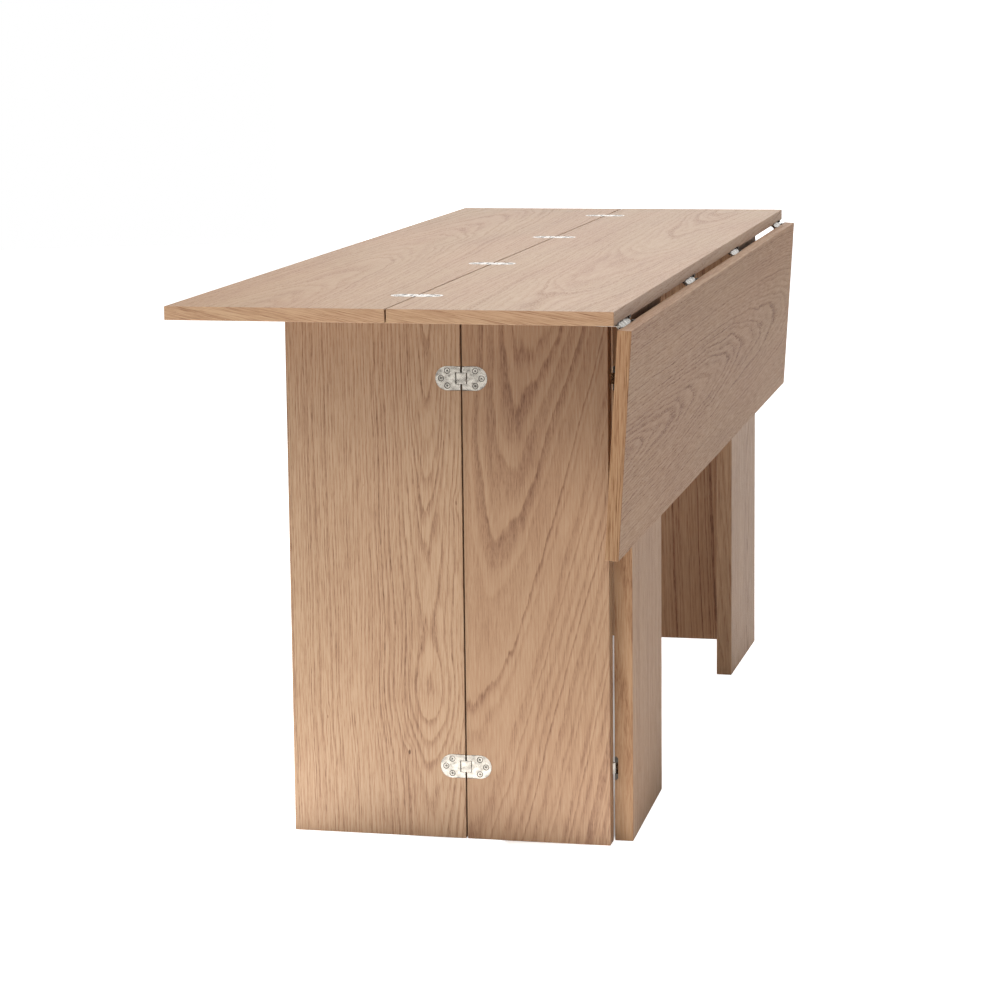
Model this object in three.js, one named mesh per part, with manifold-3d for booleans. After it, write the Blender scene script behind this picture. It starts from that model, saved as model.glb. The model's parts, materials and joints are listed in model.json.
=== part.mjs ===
// Folding oak table with three top leaves and two three-panel folding legs.
//
// Frame: millimetres, +Z up, +Y along the table's length, X across it.
// The table stands open on its left (-X) side, and its right leaf hangs.
// Every hinge is a double-pivot hinge: two plates and a link that turns on a pin in each
// plate, so that the boards fold flat against each other. The drop leaf hangs on a longer
// kind, screwed onto its underside; all the others are half-oval and lie flush.

import * as THREE from "three";
import { mergeVertices } from "three/addons/utils/BufferGeometryUtils.js";
import Module from "manifold-3d";

const wasm = await Module();
wasm.setup();

// Driving dimensions, in millimetres and degrees
const TOP = { height: 740, thickness: 18, length: 1700, leafWidth: 290 };
const LEG = {
  thickness: 25,
  endOverhang: 200, // from the end of the top to a leg's outer face
  fixedWidth: 196,
  fixedCentreX: 3,
  liftWingWidth: 240, // the wing under the lift-up leaf
  dropWingWidth: 264, // the wing that carries the drop leaf
  fixedClearance: 0.3, // under the fixed leaf
  wingClearance: 2.5, // under the moving leaves and the fixing angles
};
const SEAM = 2; // gap between two hinged boards that lie flat
const HINGE = {
  plateThickness: 3,
  pinSpacing: 11,
  pinDepth: 2, // below the plates' outer face
  pinRadius: 1.1,
  boreRadius: 1.55,
  linkRadius: 2,
  linkEndGap: 0.4,
  notchEnd: 8,
  lugEnd: 9,
  lugDepth: 4.6,
  pinInset: 1.2, // from the end of a knuckle
  boreInset: 0.7,
  screwRadius: 2.1,
};
// What differs between the two kinds. length is across the seam; the halves are along it.
// screws are on each plate, from the middle of the seam.
const FLAP_HINGE = {
  length: 35,
  halfWidth: 16,
  corner: 16,
  linkHalfWidth: 7.5,
  lugReach: 14.2,
  screws: [[19, 10], [19, -10], [27.5, 0]],
};
const LONG_HINGE = {
  length: 30,
  halfWidth: 50,
  corner: 5,
  linkHalfWidth: 37.5,
  lugReach: 50,
  screws: [[20, 36], [20, -36], [20, 0]],
};
const POCKET = { clearance: 0.3, knuckleDepth: 4.9, knuckleHalfWidth: 9.4, knuckleGap: 0.4 };
const CURVE_STEPS = { plate: 3, link: 2 };
const STATIONS = { lift: [-684, -230, 230, 684], drop: [-776, -232, 232, 776], leg: [100, 627] };
const TURN = { dropLeafHangs: 93.5, dropWingRests: 90.9 }; // from lying flat
const ANGLE = { length: 150, flange: 30, metal: 2, gap: 0.3 }; // holds a fixed panel to the fixed leaf

const COLOURS = { top: 0xcdae92, legs: 0xc2a184, nickel: 0xb9b7b2, zinc: 0x9a9c9e };

const oakTop = () => new THREE.MeshStandardMaterial({ color: COLOURS.top, roughness: 0.6, metalness: 0 });
const oakLegs = () => new THREE.MeshStandardMaterial({ color: COLOURS.legs, roughness: 0.62, metalness: 0 });
const nickel = () => new THREE.MeshStandardMaterial({ color: COLOURS.nickel, roughness: 0.3, metalness: 1 });
const zinc = () => new THREE.MeshStandardMaterial({ color: COLOURS.zinc, roughness: 0.45, metalness: 1 });

// Solids: joined and cut by manifold, from three.js geometries
function solid(geometry, matrix = new THREE.Matrix4()) {
  const plain = geometry.clone().applyMatrix4(matrix);
  plain.deleteAttribute("normal");
  plain.deleteAttribute("uv");
  const merged = mergeVertices(plain, 1e-4);
  return new wasm.Manifold(new wasm.Mesh({
    numProp: 3,
    vertProperties: new Float32Array(merged.attributes.position.array),
    triVerts: new Uint32Array(merged.index.array),
  }));
}

function geometryOf(manifold) {
  const mesh = manifold.getMesh();
  const geometry = new THREE.BufferGeometry();
  geometry.setAttribute("position", new THREE.BufferAttribute(new Float32Array(mesh.vertProperties), 3));
  geometry.setIndex(new THREE.BufferAttribute(new Uint32Array(mesh.triVerts), 1));
  const faceted = geometry.toNonIndexed();
  faceted.computeVertexNormals();
  return faceted;
}

function box(low, high) {
  const size = high.map((value, i) => value - low[i]);
  const centre = high.map((value, i) => (value + low[i]) / 2);
  return new THREE.BoxGeometry(...size).translate(...centre);
}

function cylinderAlongY(radius, x, z, from, to) {
  return new THREE.CylinderGeometry(radius, radius, to - from, 8).translate(x, (from + to) / 2, z);
}

// Hinge parts. Their frame has X across the seam towards the moving board, Y along the seam
// and Z out of the hinged face, with Z = 0 on the plates' outer face.
const PIN_X = HINGE.pinSpacing / 2;

// Half of a hinge's outline: a rectangle from x = from, with both far corners rounded
function halfOutline(kind, inset, from) {
  const radius = kind.corner + inset;
  const x = kind.length - kind.corner;
  const y = kind.halfWidth - kind.corner;
  const outline = new THREE.Shape();
  outline.moveTo(from, -y - radius);
  outline.lineTo(x, -y - radius);
  outline.absarc(x, -y, radius, -Math.PI / 2, 0, false);
  outline.absarc(x, y, radius, 0, Math.PI / 2, false);
  outline.lineTo(from, y + radius);
  outline.closePath();
  return outline;
}

function plateSolid(kind) {
  const inner = SEAM / 2 + 0.1;
  const notchHalfWidth = kind.linkHalfWidth + HINGE.linkEndGap;
  const outline = halfOutline(kind, 0, inner);
  for (const [x, y] of kind.screws) {
    const hole = new THREE.Path();
    hole.absarc(x, y, HINGE.screwRadius, 0, 2 * Math.PI, true);
    outline.holes.push(hole);
  }
  const depth = HINGE.plateThickness;
  const sheet = new THREE.ExtrudeGeometry(outline, { depth, bevelEnabled: false, curveSegments: CURVE_STEPS.plate });
  let plate = solid(sheet.translate(0, 0, -depth));
  for (const side of [-1, 1]) {
    const ends = [side * notchHalfWidth, side * kind.lugReach].sort((a, b) => a - b);
    plate = plate.add(solid(box([inner, ends[0], -HINGE.lugDepth], [HINGE.lugEnd, ends[1], -1])));
  }
  const notch = box([0, -notchHalfWidth, -10], [HINGE.notchEnd, notchHalfWidth, 1]);
  const boreReach = kind.lugReach - HINGE.boreInset;
  const bore = cylinderAlongY(HINGE.boreRadius, PIN_X, -HINGE.pinDepth, -boreReach, boreReach);
  return plate.subtract(solid(notch)).subtract(solid(bore));
}

function linkGeometry(kind) {
  const outline = new THREE.Shape();
  outline.absarc(PIN_X, 0, HINGE.linkRadius, -Math.PI / 2, Math.PI / 2, false);
  outline.absarc(-PIN_X, 0, HINGE.linkRadius, Math.PI / 2, 1.5 * Math.PI, false);
  outline.closePath();
  const depth = 2 * kind.linkHalfWidth;
  const bar = new THREE.ExtrudeGeometry(outline, { depth, bevelEnabled: false, curveSegments: CURVE_STEPS.link });
  bar.translate(0, 0, -kind.linkHalfWidth).rotateX(Math.PI / 2);
  const pinReach = kind.lugReach - HINGE.pinInset;
  let link = solid(bar);
  for (const x of [-PIN_X, PIN_X]) {
    link = link.add(solid(cylinderAlongY(HINGE.pinRadius, x, 0, -pinReach, pinReach)));
  }
  return geometryOf(link);
}

// The room that one hinge needs in its two boards: always for the knuckles, and for the
// plates too where they lie flush with the boards.
function hingePocket(kind, proud) {
  const reach = kind.lugReach + POCKET.knuckleGap;
  const knuckle = box(
    [-POCKET.knuckleHalfWidth, -reach, -POCKET.knuckleDepth],
    [POCKET.knuckleHalfWidth, reach, 1],
  );
  if (proud) return solid(knuckle);
  const depth = HINGE.plateThickness + POCKET.clearance + 1;
  const half = new THREE.ExtrudeGeometry(
    halfOutline(kind, POCKET.clearance, 0), { depth, bevelEnabled: false, curveSegments: CURVE_STEPS.plate },
  ).translate(0, 0, 1 - depth);
  const other = half.clone().rotateZ(Math.PI);
  return solid(half).add(solid(other)).add(solid(knuckle));
}

// Everything that the hinges of one kind share
function hingeSet(kind, proud) {
  const plate = plateSolid(kind);
  const turned = plate.transform(matrixValues(new THREE.Matrix4().makeRotationZ(Math.PI)));
  return {
    proud,
    movingPlate: geometryOf(plate),
    fixedPlate: geometryOf(turned),
    link: linkGeometry(kind),
    pocket: hingePocket(kind, proud),
  };
}

const FLAP_SET = hingeSet(FLAP_HINGE, 0);
const LONG_SET = hingeSet(LONG_HINGE, HINGE.plateThickness);

function matrixValues(matrix) {
  return Array.from(matrix.elements);
}

// A hinge line between a fixed and a moving board. across points from the fixed board to
// the moving one, outward is the normal of the hinged face, and origin is a point on the
// middle of the seam, on the boards' face.
function seamLine({ origin, across, outward, stations, hinges = FLAP_SET }) {
  const x = new THREE.Vector3(...across);
  const z = new THREE.Vector3(...outward);
  const y = new THREE.Vector3().crossVectors(z, x);
  const along = y.x + y.y + y.z;
  const frame = new THREE.Matrix4().makeBasis(x, y, z);
  frame.setPosition(new THREE.Vector3(...origin).addScaledVector(z, hinges.proud));
  return { frame, hinges, stations: stations.map((station) => station * along) };
}

function cutPockets(board, seam, frame) {
  return seam.stations.reduce((cut, y) => {
    const place = frame.clone().multiply(new THREE.Matrix4().makeTranslation(0, y, 0));
    return cut.subtract(seam.hinges.pocket.transform(matrixValues(place)));
  }, board);
}

function named(name, geometry, material) {
  const mesh = new THREE.Mesh(geometry, material);
  mesh.name = name;
  return mesh;
}

// A board that stays still, in the table's frame, cut for each of its seams
function fixedBoard(name, low, high, seams, material) {
  const board = seams.reduce((cut, seam) => cutPockets(cut, seam, seam.frame), solid(box(low, high)));
  return named(name, geometryOf(board), material);
}

// A seam's hinges and its moving board, turned from flat by restTurn degrees. Half of the
// turn is at the fixed pins and half at the moving pins.
function hingedBoard(name, seam, { width, thickness, ends, restTurn = 0, material }) {
  const group = new THREE.Group();
  group.applyMatrix4(seam.frame);
  const links = new THREE.Group();
  links.position.set(-PIN_X, 0, -HINGE.pinDepth);
  links.rotation.y = -THREE.MathUtils.degToRad(restTurn) / 2;
  const moving = new THREE.Group();
  moving.position.set(HINGE.pinSpacing, 0, 0);
  moving.rotation.y = links.rotation.y;
  links.add(moving);
  group.add(links);

  seam.stations.forEach((y, i) => {
    const number = i + 1;
    const fixedPlate = named(`${name}_fixed_plate_${number}`, seam.hinges.fixedPlate, nickel());
    fixedPlate.position.set(0, y, 0);
    group.add(fixedPlate);
    const link = named(`${name}_link_${number}`, seam.hinges.link, nickel());
    link.position.set(PIN_X, y, 0);
    links.add(link);
    const movingPlate = named(`${name}_moving_plate_${number}`, seam.hinges.movingPlate, nickel());
    movingPlate.position.set(-PIN_X, y, HINGE.pinDepth);
    moving.add(movingPlate);
  });

  const face = -seam.hinges.proud;
  const low = [SEAM / 2, Math.min(...ends), face - thickness];
  const high = [SEAM / 2 + width, Math.max(...ends), face];
  const board = cutPockets(solid(box(low, high)), seam, new THREE.Matrix4());
  const mesh = named(name, geometryOf(board), material);
  mesh.position.set(-PIN_X, 0, HINGE.pinDepth);
  moving.add(mesh);
  return group;
}

// Top: a fixed leaf, a leaf that lifts up and over it, and a leaf that drops
const topUnderside = TOP.height - TOP.thickness;
const leafHalf = TOP.leafWidth / 2;
const topHalf = TOP.length / 2;

const liftSeam = seamLine({
  origin: [-leafHalf - SEAM / 2, 0, TOP.height],
  across: [-1, 0, 0],
  outward: [0, 0, 1],
  stations: STATIONS.lift,
});
const dropSeam = seamLine({
  origin: [leafHalf + SEAM / 2, 0, topUnderside],
  across: [1, 0, 0],
  outward: [0, 0, -1],
  stations: STATIONS.drop,
  hinges: LONG_SET,
});

function tableTop() {
  const group = new THREE.Group();
  const leaf = { width: TOP.leafWidth, thickness: TOP.thickness, ends: [-topHalf, topHalf] };
  const low = [-leafHalf, -topHalf, topUnderside];
  const high = [leafHalf, topHalf, TOP.height];
  group.add(fixedBoard("fixed_leaf", low, high, [liftSeam, dropSeam], oakTop()));
  group.add(hingedBoard("lift_leaf", liftSeam, { ...leaf, material: oakTop() }));
  group.add(hingedBoard("drop_leaf", dropSeam, { ...leaf, restTurn: TURN.dropLeafHangs, material: oakTop() }));
  return group;
}

// Legs: a fixed panel with a wing hinged to each of its edges. side is -1 at the near end
// of the table and 1 at the far end; the two legs mirror each other.
function fixingAngle(name, side, innerFace) {
  const inward = -side;
  const flange = (from, to, bottom, top) => {
    const faces = [innerFace + inward * from, innerFace + inward * to].sort((a, b) => a - b);
    const halfLength = ANGLE.length / 2;
    const low = [LEG.fixedCentreX - halfLength, faces[0], bottom];
    return box(low, [LEG.fixedCentreX + halfLength, faces[1], top]);
  };
  const top = topUnderside - ANGLE.gap;
  const upright = flange(ANGLE.gap, ANGLE.gap + ANGLE.metal, top - ANGLE.flange, top);
  const level = flange(ANGLE.gap, ANGLE.gap + ANGLE.flange, top - ANGLE.metal, top);
  return named(name, geometryOf(solid(upright).add(solid(level))), zinc());
}

function leg(end, side) {
  const group = new THREE.Group();
  const outerFace = side * (topHalf - LEG.endOverhang);
  const innerFace = outerFace - side * LEG.thickness;
  const left = LEG.fixedCentreX - LEG.fixedWidth / 2;
  const right = LEG.fixedCentreX + LEG.fixedWidth / 2;
  const wingTop = topUnderside - LEG.wingClearance;

  const liftWingSeam = seamLine({
    origin: [left - SEAM / 2, outerFace, 0],
    across: [-1, 0, 0],
    outward: [0, side, 0],
    stations: STATIONS.leg,
  });
  const dropWingSeam = seamLine({
    origin: [right + SEAM / 2, innerFace, 0],
    across: [1, 0, 0],
    outward: [0, -side, 0],
    stations: STATIONS.leg,
  });
  const low = [left, Math.min(outerFace, innerFace), 0];
  const high = [right, Math.max(outerFace, innerFace), topUnderside - LEG.fixedClearance];
  const seams = [liftWingSeam, dropWingSeam];
  group.add(fixedBoard(`${end}_fixed_panel`, low, high, seams, oakLegs()));
  group.add(fixingAngle(`${end}_fixing_angle`, side, innerFace));

  const ends = [0, wingTop].map((z) => z * side);
  const wing = { thickness: LEG.thickness, ends, material: oakLegs() };
  group.add(hingedBoard(`${end}_lift_wing`, liftWingSeam, { ...wing, width: LEG.liftWingWidth }));
  group.add(hingedBoard(`${end}_drop_wing`, dropWingSeam, {
    ...wing, width: LEG.dropWingWidth, restTurn: TURN.dropWingRests,
  }));
  return group;
}

// The origin is on the floor, under the middle of the whole table
const group = new THREE.Group();
group.add(tableTop(), leg("near", -1), leg("far", 1));
group.updateMatrixWorld(true);
const bounds = new THREE.Box3().setFromObject(group, true);
group.position.x = -(bounds.min.x + bounds.max.x) / 2;

export default group;
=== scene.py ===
"""Folding oak table: boards, hinges and screws with their finishes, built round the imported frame.

Sizes are in millimetres, as in the part's source, and become metres where a mesh is made.
A board's own frame has X across the grain, Y along it and Z out of its hinged face.
"""

import json
import math

import bmesh
import bpy
from mathutils import Matrix, Vector


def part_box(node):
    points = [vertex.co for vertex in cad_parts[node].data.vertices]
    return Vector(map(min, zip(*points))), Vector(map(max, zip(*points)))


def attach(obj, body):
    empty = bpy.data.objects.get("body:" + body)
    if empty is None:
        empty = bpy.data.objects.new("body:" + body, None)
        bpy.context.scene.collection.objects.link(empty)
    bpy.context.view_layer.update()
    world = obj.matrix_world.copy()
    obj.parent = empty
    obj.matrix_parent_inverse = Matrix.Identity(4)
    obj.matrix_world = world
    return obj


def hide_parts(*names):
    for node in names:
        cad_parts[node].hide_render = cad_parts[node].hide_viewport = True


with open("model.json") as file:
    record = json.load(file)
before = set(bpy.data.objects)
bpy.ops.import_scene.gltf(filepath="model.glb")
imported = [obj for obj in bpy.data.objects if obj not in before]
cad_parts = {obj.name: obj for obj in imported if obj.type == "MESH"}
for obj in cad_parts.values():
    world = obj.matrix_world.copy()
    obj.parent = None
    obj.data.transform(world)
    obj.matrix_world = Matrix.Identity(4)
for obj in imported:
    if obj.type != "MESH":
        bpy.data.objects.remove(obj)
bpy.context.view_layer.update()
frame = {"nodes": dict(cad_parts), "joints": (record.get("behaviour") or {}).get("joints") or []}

MM = 0.001
NODES = frame["nodes"]
JOINTS = {joint["name"]: joint for joint in frame["joints"]}

# Boards
ARRIS = 0.9
ARRIS_STEPS = 3

# Double-pivot hinges. Their frame has X across the seam towards the moving board, Y along
# the seam and Z out of the plates, with Z = 0 on their outer face.
PIN_X = 5.5
PIN_DEPTH = 2
PIN = {"radius": 1.1, "inset": 1.2, "steps": 20}
BORE = {"radius": 1.4, "inset": 0.9}
PLATE = {"inner": 1.1, "thickness": 3, "bevel": 0.5, "bevel_steps": 3}
NOTCH = {"end": 8, "gap": 0.4}
LUG = {"end": 9, "depth": 4.6, "top": 1}
LINK = {
    "radius": 2, "steps": 12, "bevel": 0.35, "segment_bevel": 0.8, "bevel_steps": 2,
    "core_inset": 0.7,
}
# knuckle_top differs from CLEAR, so that no two of a pocket's cutters share a face
POCKET = {
    "gap": 0.3, "depth": 3.3, "across": 9.4, "end_gap": 0.4, "knuckle_depth": 4.9,
    "knuckle_top": 0.9,
}
# length is across the seam; half_width, link and reach are half-lengths along it. knuckles
# is how many segments the link's bar shows, and screws are their places on a plate.
FLAP_HINGE = {
    "name": "flap", "length": 35, "half_width": 16, "corner": 16, "link": 7.5, "reach": 14.2,
    "knuckles": 1, "flush": True, "screws": ((19, 10), (19, -10), (27.5, 0)),
}
LONG_HINGE = {
    "name": "long", "length": 30, "half_width": 50, "corner": 5, "link": 37.5, "reach": 50,
    "knuckles": 5, "flush": False, "screws": ((20, 36), (20, -36), (20, 0)),
}
SCREW = {
    "head": 3.3, "rim": 0.15, "head_depth": 2.1, "shank": 1.9, "point": 3, "length": 14, "sunk": 0.35,
}
SCREW_TURN = 2.4  # in radians, from one screw's recess to the next one's
SINK = {"radius": 4.15, "depth": 1.9, "hole": 2.1}
RECESS = {"arm": 2.3, "half_width": 0.7, "above": 0.5, "depth": 1.5, "taper": 0.4}
# Metal further than this below a hinge's face is painted dark: painted shade in holes, recesses, screw
# heads, edges and undersides
SHADE_BELOW = 0.55

# Fixing angle behind each fixed panel
ANGLE = {"metal": 2, "bend": 2.5, "bend_steps": 6, "corner": 5, "corner_steps": 6}
ANGLE_SCREWS = {"steps": (-1, 0, 1), "spacing": 55, "from_corner": 17.5, "hole": 2.6, "through": 5}
DOMED_HEAD = {"radius": 4.2, "height": 1.7, "rim": 0.5, "steps": 6}

# How far a cutter stands out of the face that it cuts, and how far it reaches through a plate
CLEAR = 1
THROUGH = 10
ARC_STEPS = 32
CORNER_STEPS = 14
TOLERANCE = 1e-4
SHARP_ANGLE = {"board": 40, "hinge": 35, "angle": 30}


# ---------------------------------------------------------------- meshes


def finished_mesh(name, shape, sharp_angle):
    """A mesh in metres from a bmesh in millimetres, smooth but for its sharp edges."""
    mesh = bpy.data.meshes.new(name)
    bmesh.ops.recalc_face_normals(shape, faces=shape.faces)
    shape.to_mesh(mesh)
    shape.free()
    mesh.transform(Matrix.Scale(MM, 4))
    for face in mesh.polygons:
        face.use_smooth = True
    mesh.set_sharp_from_angle(angle=math.radians(sharp_angle))
    return mesh


def placed_object(name, mesh, place):
    obj = bpy.data.objects.new(name, mesh)
    bpy.context.scene.collection.objects.link(obj)
    obj.matrix_world = place
    return obj


def weigh_normals(obj):
    """Keeps large faces flat, and lets only the narrow rounded edges between them shade round."""
    modifier = obj.modifiers.new("face normals", "WEIGHTED_NORMAL")
    modifier.keep_sharp = True
    modifier.weight = 100


def prism(outline, low, high):
    """A bmesh solid with the outline, a list of (x, y), between two heights."""
    shape = bmesh.new()
    bottom = [shape.verts.new((x, y, low)) for x, y in outline]
    top = [shape.verts.new((x, y, high)) for x, y in outline]
    close_solid(shape, bottom, top)
    return shape


def close_solid(shape, bottom, top):
    close_sides(shape, bottom, top)
    shape.faces.new(list(reversed(bottom)))
    shape.faces.new(top)


def close_sides(shape, lower, upper):
    count = len(lower)
    for i in range(count):
        j = (i + 1) % count
        shape.faces.new((lower[i], lower[j], upper[j], upper[i]))


def turned(profile, steps=ARC_STEPS):
    """A bmesh solid of revolution about Z. The profile is a list of (radius, height), top first."""
    shape = bmesh.new()
    angles = [2 * math.pi * i / steps for i in range(steps)]
    rings = []
    for radius, height in profile:
        around = angles if radius else [0]
        rings.append([shape.verts.new((radius * math.cos(a), radius * math.sin(a), height)) for a in around])
    for upper, lower in zip(rings, rings[1:]):
        join_rings(shape, lower, upper)
    for ring, is_top in ((rings[0], True), (rings[-1], False)):
        if len(ring) > 1:
            shape.faces.new(ring if is_top else list(reversed(ring)))
    return shape


def join_rings(shape, lower, upper):
    if len(lower) > 1 and len(upper) > 1:
        close_sides(shape, lower, upper)
        return
    point, ring = (lower[0], upper) if len(lower) == 1 else (upper[0], lower)
    for i in range(len(ring)):
        shape.faces.new((ring[i], ring[(i + 1) % len(ring)], point))


def block(low, high):
    """A bmesh box between two corners."""
    outline = [(low[0], low[1]), (high[0], low[1]), (high[0], high[1]), (low[0], high[1])]
    return prism(outline, low[2], high[2])


def rounded(shape, radius, steps, wanted=None):
    """Rounds a bmesh's edges, or only those for which wanted(edge) is true."""
    edges = [edge for edge in shape.edges if wanted is None or wanted(edge)]
    bmesh.ops.bevel(
        shape, geom=edges, offset=radius, offset_type="OFFSET", segments=steps, profile=0.5,
        affect="EDGES", clamp_overlap=True,
    )
    return shape


def is_level(edge):
    start, end = edge.verts
    return abs(start.co.z - end.co.z) < TOLERANCE


def is_on_face(edge):
    """Tells whether an edge lies in the plane Z = 0."""
    return all(abs(vertex.co.z) < TOLERANCE for vertex in edge.verts)


def half_outline(kind, inset, start):
    """Half of a hinge's outline: a rectangle from x = start, with both far corners rounded."""
    radius = kind["corner"] + inset
    x = kind["length"] - kind["corner"]
    y = kind["half_width"] - kind["corner"]
    quarter = [math.pi / 2 * i / CORNER_STEPS for i in range(CORNER_STEPS + 1)]
    lower = [(x + radius * math.sin(a), -y - radius * math.cos(a)) for a in quarter]
    upper = [(x + radius * math.cos(a), y + radius * math.sin(a)) for a in quarter]
    if y == 0:
        upper = upper[1:]
    return [(start, -y - radius), *lower, *upper, (start, y + radius)]


def combined(shape, cutters, operation):
    """A bmesh after exact booleans with other bmeshes, in order. The bmeshes given are used up."""
    target = scratch_object(shape)
    others = [scratch_object(cutter) for cutter in cutters]
    for other in others:
        modifier = target.modifiers.new("boolean", "BOOLEAN")
        modifier.object = other
        modifier.operation = operation
        modifier.solver = "EXACT"
    graph = bpy.context.evaluated_depsgraph_get()
    result = bmesh.new()
    result.from_mesh(target.evaluated_get(graph).to_mesh())
    for obj in (target, *others):
        mesh = obj.data
        bpy.data.objects.remove(obj)
        bpy.data.meshes.remove(mesh)
    return result


def scratch_object(shape):
    mesh = bpy.data.meshes.new("scratch")
    bmesh.ops.recalc_face_normals(shape, faces=shape.faces)
    shape.to_mesh(mesh)
    shape.free()
    return placed_object("scratch", mesh, Matrix.Identity(4))


def moved(shape, matrix):
    bmesh.ops.transform(shape, matrix=matrix, verts=shape.verts)
    return shape


# ---------------------------------------------------------------- shader graph

# Where a Mix node has its factor and two values, and its result, for each kind of value
MIX_INPUTS = {"VECTOR": (0, 4, 5), "RGBA": (0, 6, 7)}
MIX_OUTPUT = {"VECTOR": 1, "RGBA": 2}


class Graph:
    """Adds nodes to a material's tree, so that the material reads as a formula."""

    def __init__(self, tree):
        self.tree = tree

    def add(self, kind, inputs=None, **settings):
        node = self.tree.nodes.new(kind)
        for name, value in settings.items():
            setattr(node, name, value)
        for socket, value in (inputs or {}).items():
            self.put(node.inputs[socket], value)
        return node

    def put(self, socket, value):
        if isinstance(value, bpy.types.NodeSocket):
            self.tree.links.new(value, socket)
        else:
            socket.default_value = value

    def math(self, operation, *values):
        return self.add("ShaderNodeMath", dict(enumerate(values)), operation=operation).outputs[0]

    def vector(self, operation, *values):
        return self.add("ShaderNodeVectorMath", dict(enumerate(values)), operation=operation).outputs[0]

    def length(self, vector):
        return self.add("ShaderNodeVectorMath", {0: vector}, operation="LENGTH").outputs["Value"]

    def split(self, vector):
        return self.add("ShaderNodeSeparateXYZ", {"Vector": vector}).outputs

    def joined(self, x, y, z):
        return self.add("ShaderNodeCombineXYZ", {"X": x, "Y": y, "Z": z}).outputs[0]

    def total(self, *values):
        result = values[0]
        for value in values[1:]:
            result = self.math("ADD", result, value)
        return result

    def weighted(self, values, weights):
        """Each named value times its weight."""
        return [self.math("MULTIPLY", values[name], weight) for name, weight in weights.items()]

    def noise(self, point, size, detail=2.0, roughness=0.5):
        """Noise whose blotches have that size, in millimetres, across, along and through a board."""
        scaled = self.vector("DIVIDE", point, size)
        inputs = {"Vector": scaled, "Scale": 1.0, "Detail": detail, "Roughness": roughness}
        return self.add("ShaderNodeTexNoise", inputs).outputs["Fac"]

    def swing(self, value, amount):
        """A noise value of 0 to 1, as a swing of up to amount to either side of zero."""
        return self.math("MULTIPLY", self.math("SUBTRACT", value, 0.5), 2 * amount)

    def ramp(self, value, start, end, low=0.0, high=1.0):
        inputs = {"Value": value, "From Min": start, "From Max": end, "To Min": low, "To Max": high}
        return self.add("ShaderNodeMapRange", inputs, interpolation_type="SMOOTHSTEP").outputs["Result"]

    def colours(self, value, stops):
        node = self.add("ShaderNodeValToRGB", {"Fac": value})
        elements = node.color_ramp.elements
        while len(elements) < len(stops):
            elements.new(0.5)
        for element, (position, colour) in zip(elements, stops):
            element.position = position
            element.color = (*colour, 1)
        return node.outputs["Color"]

    def mix(self, kind, factor, first, second, blend="MIX"):
        node = self.add("ShaderNodeMix", data_type=kind, blend_type=blend)
        for index, value in zip(MIX_INPUTS[kind], (factor, first, second)):
            self.put(node.inputs[index], value)
        return node.outputs[MIX_OUTPUT[kind]]


def new_material(name):
    material = bpy.data.materials.new(name)
    material.use_nodes = True
    graph = Graph(material.node_tree)
    return material, graph, material.node_tree.nodes["Principled BSDF"]


def object_point(graph, coordinates):
    """The shaded point in its object's own frame, in millimetres."""
    return graph.vector("MULTIPLY", coordinates["Object"], (1 / MM,) * 3)


# ---------------------------------------------------------------- oak

# From the palest wood to the darkest
OAK_STOPS = (
    (0.0, (0.410, 0.275, 0.170)),
    (0.30, (0.345, 0.214, 0.124)),
    (0.62, (0.239, 0.128, 0.070)),
    (1.0, (0.107, 0.047, 0.022)),
)

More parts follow.
